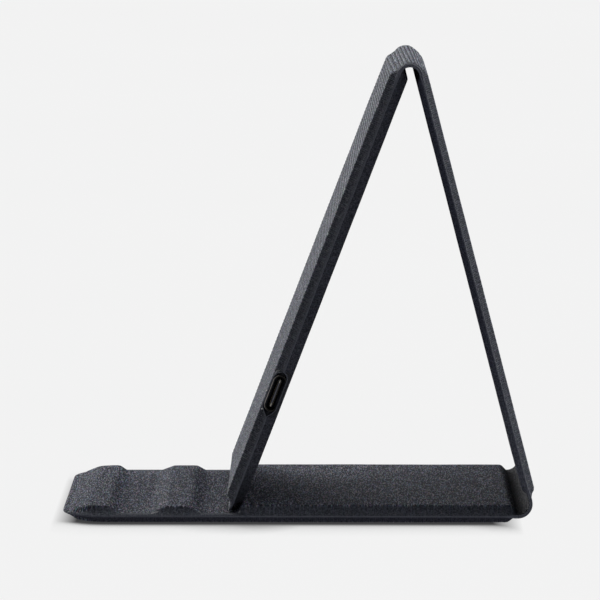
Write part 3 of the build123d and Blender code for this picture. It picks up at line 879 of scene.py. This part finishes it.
def dress_cad_nodes():
    """Gives every CAD node that stays in view its own finish."""
    board = moulded("glass_filled_board", (0.15, 0.15, 0.155), 0.75, 1400.0, 0.00003)
    housing = moulded("module_housing", (0.012, 0.012, 0.014), 0.6)
    epoxy = moulded("chip_epoxy", (0.022, 0.022, 0.024), 0.55, 2500.0)
    ceramic = moulded("capacitor_ceramic", (0.42, 0.30, 0.18), 0.4, 2200.0, 0.00001)
    insulator = moulded("port_insulator", (0.014, 0.014, 0.016), 0.5, 3000.0, 0.00001)
    ferrite = moulded("sintered_ferrite", (0.06, 0.06, 0.064), 0.48, 1800.0, 0.00002)
    finishes = {
        "base_board": board, "front_ridge": board, "rear_ridge": board, "plateau_board": board,
        "leg_board": board, "module_front_cover": housing, "module_rear_cover": housing,
        "keeper_strip": metal("rolled_steel", (0.5, 0.5, 0.5), 0.4, (0.1, 1.0, 1.0)),
        "foot_magnets": metal("nickel_plate", (0.72, 0.70, 0.66), 0.22),
        "shield_plate": metal("rolled_aluminium", (0.76, 0.77, 0.78), 0.36, (1.0, 0.08, 1.0)),
        "transmit_coil": wound_copper("litz_wire"), "coil_leads": wound_copper("lead_wire"),
        "ferrite_sheet": ferrite, "filter_inductor": ferrite, "thermistor": epoxy,
        "circuit_board": circuit_laminate("solder_mask"), "controller_chip": epoxy,
        "driver_chips": epoxy, "resonance_capacitors": ceramic, "small_passives": ceramic,
        "usb_port_shell": port_shell(), "usb_port_tongue": port_tongue(),
        "usb_port_body": insulator,
        "usb_port_contacts": metal("contact_gold", (0.86, 0.66, 0.3), 0.25)}
    for node, material in finishes.items():
        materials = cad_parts[node].data.materials
        materials.clear()
        materials.append(material)


# ---------------------------------------------------------------- the object

HINGE_MARGIN = 0.45  # between a panel and the start of the blend, in millimetres


def xyz(point):
    """A point of the X-Z plane in millimetres as a point of the frame in metres."""
    return (point[0] * MM, 0.0, point[1] * MM)


def hinge_line(first, second):
    """Where a hinge's blend starts and ends, kept clear of the panels on both sides."""
    reach = second - first
    margin = HINGE_MARGIN * reach / np.linalg.norm(reach)
    return xyz(first + margin), xyz(second - margin)


def build_covers():
    """Both covers, a piece to each panel and hinge."""
    outer, inner = drape(outer_boards()), drape(inner_boards())
    outer_cloth = woven_cloth("ribbed_cover_cloth", 0.3, True)
    inner_cloth = woven_cloth("plain_cover_cloth", 0.7, False)
    base_end = np.array([BASE_REAR, RIM_HEIGHT])
    hinges = {
        "base_hinge": ("base", "rear_leg", *hinge_line(base_end, leg_start)),
        "top_hinge": ("rear_leg", "charging_panel", *hinge_line(leg_end, panel_top))}
    base, base_bend = (0, BASE_LENGTH), (BASE_LENGTH, LEG_FROM)
    leg, top_bend = (LEG_FROM, LEG_TO), (LEG_TO, PANEL_FROM)
    panel = (PANEL_FROM, STRIP_END)
    # name, CAD node, what it rides on, side, stretch of the strip and spacing of its columns
    stretches = (
        ("base_underside_cover", "base_bottom_skin", "base", 1, base, 0.6),
        ("base_top_cover", "base_top_skin", "base", -1, base, 0.4),
        ("base_hinge_outer_cover", "base_hinge_outer_ply", "base_hinge", 1, base_bend, 0.12),
        ("base_hinge_inner_cover", "base_hinge_inner_ply", "base_hinge", -1, base_bend, 0.2),
        ("leg_outer_cover", "leg_outer_skin", "rear_leg", 1, leg, 0.26),
        ("leg_inner_cover", "leg_inner_skin", "rear_leg", -1, leg, 0.5),
        ("top_hinge_outer_cover", "top_hinge_outer_ply", "top_hinge", 1, top_bend, 0.1),
        ("top_hinge_inner_cover", "top_hinge_inner_ply", "top_hinge", -1, top_bend, 0.2),
        ("panel_face_cover", "panel_front_skin", "charging_panel", 1, panel, 0.29),
        ("panel_rear_cover", "panel_rear_skin", "charging_panel", -1, panel, 0.5))
    for name, node, rides_on, side, stretch, step in stretches:
        piece = cover(name, outer if side > 0 else inner, side, *stretch, step)
        piece.data.materials.append(outer_cloth if side > 0 else inner_cloth)
        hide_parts(node)
        if rides_on in hinges:
            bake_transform(piece)
        else:
            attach(piece, rides_on)


# ---------------------------------------------------------------- stage, light and camera

# The table top. Lengths are in metres.
SHADOW_REACH = 0.016
SHADOW_POWER = 3.6  # how quickly it darkens towards the stand
SHADOW_SHADE = (0.05, 0.05, 0.052, 1)
REAR_CLEAR = (0.048, 0.007)  # where the table is free of shadow behind the stand, and its fade
FRONT_CLEAR = ((BASE_FRONT + 3.5) * MM, 0.006)  # and in front of it
FLOOR_WHITE = 0.887
WHITE = (FLOOR_WHITE, FLOOR_WHITE, FLOOR_WHITE, 1)
FLOOR_GLOW = 0.22  # light the table gives back to the stand
FLOOR_RADIUS = 14.0

KEY_LIGHTS = (  # direction, tightness, strength
    ((-0.58, 0.81, 0.06), 16.0, 26.5), ((0.78, 0.31, 0.54), 16.0, 12.0),
    ((0.80, -0.60, 0.0), 16.0, 2.3), ((0.30, -0.15, 0.94), 16.0, 3.2),
    ((0.0, 0.75, 0.65), 16.0, 3.1))
FILL_LIGHT = (0.041, 0.053, 0.082, 1)

CAMERA_PLACE = (8.5 * MM, -1010.2 * MM, 181.3 * MM)
CAMERA_DROP = math.radians(7.43)  # how far it looks down
CAMERA_TURN = math.radians(0.37)
LENS = 251.2  # focal length and width of the sensor, in millimetres
SENSOR = 36.0


def build_floor():
    """Plain pale table top with a light of its own and a soft contact shadow."""
    n = Surface("pale_table")
    place = n.place()
    x, _, _ = n.separate(place)
    openness = n.add("ShaderNodeAmbientOcclusion", samples=24)
    openness.inputs["Distance"].default_value = SHADOW_REACH
    contact = n.math("POWER", openness.outputs["AO"], SHADOW_POWER)
    clear = n.math("MAXIMUM", n.rise(x, *REAR_CLEAR), n.fall(x, *FRONT_CLEAR))
    seen = n.mix(n.math("MAXIMUM", contact, clear), SHADOW_SHADE, WHITE)
    given = (FLOOR_GLOW, FLOOR_GLOW, 1.2 * FLOOR_GLOW, 1)
    to_camera = n.add("ShaderNodeLightPath").outputs["Is Camera Ray"]
    shade = n.ramp(n.noise(place, 3.0), ((0.3, (0.0, 0.0, 0.0)), (0.7, (0.004, 0.004, 0.004))))
    n.finish(
        shade, 0.9, Emission_Color=n.mix(to_camera, given, seen), Emission_Strength=1.0,
        Specular_IOR_Level=0.0)
    bpy.ops.mesh.primitive_circle_add(vertices=96, radius=FLOOR_RADIUS, fill_type="NGON")
    floor = bpy.context.object
    floor.name = "table_top"
    floor.data.materials.append(n.material)


def build_world():
    """A soft studio: large lights behind the stand to the left, right and top, dim in front."""
    world = bpy.data.worlds.new("studio")
    bpy.context.scene.world = world
    n = Nodes(world)

    def background(**settings):
        """Light from all round."""
        node = n.add("ShaderNodeBackground")
        for key, value in settings.items():
            n.join(value, node.inputs[key])
        return node.outputs[0]

    way = n.add("ShaderNodeTexCoord").outputs["Generated"]
    glow = 0.0
    for aim, tightness, strength in KEY_LIGHTS:
        dot = n.add("ShaderNodeVectorMath", operation="DOT_PRODUCT")
        n.join(way, dot.inputs[0])
        n.join(tuple(c / math.hypot(*aim) for c in aim), dot.inputs[1])
        facing = n.math("MAXIMUM", dot.outputs["Value"], 0.0)
        glow = n.math("MULTIPLY_ADD", n.math("POWER", facing, tightness), strength, glow)
    studio = n.add("ShaderNodeAddShader")
    n.join(background(Strength=glow), studio.inputs[0])
    n.join(background(Color=FILL_LIGHT), studio.inputs[1])
    chosen = n.add("ShaderNodeMixShader")
    n.join(n.add("ShaderNodeLightPath").outputs["Is Camera Ray"], chosen.inputs[0])
    n.join(studio.outputs[0], chosen.inputs[1])
    n.join(background(Color=WHITE), chosen.inputs[2])
    n.join(chosen.outputs[0], n.add("ShaderNodeOutputWorld").inputs[0])


def build_camera():
    """A long lens, a little above the table, square to the near edge of the stand."""
    camera = bpy.data.objects.new("camera", bpy.data.cameras.new("camera"))
    camera.data.lens = LENS
    camera.data.sensor_width = SENSOR
    camera.data.clip_start = 0.05
    camera.data.clip_end = 60.0
    camera.location = CAMERA_PLACE
    camera.rotation_euler = (math.pi / 2 - CAMERA_DROP, 0, CAMERA_TURN)
    bpy.context.scene.collection.objects.link(camera)
    bpy.context.scene.camera = camera
    bpy.context.scene.view_settings.view_transform = "Standard"


build_covers()
dress_cad_nodes()
build_floor()
build_world()
build_camera()
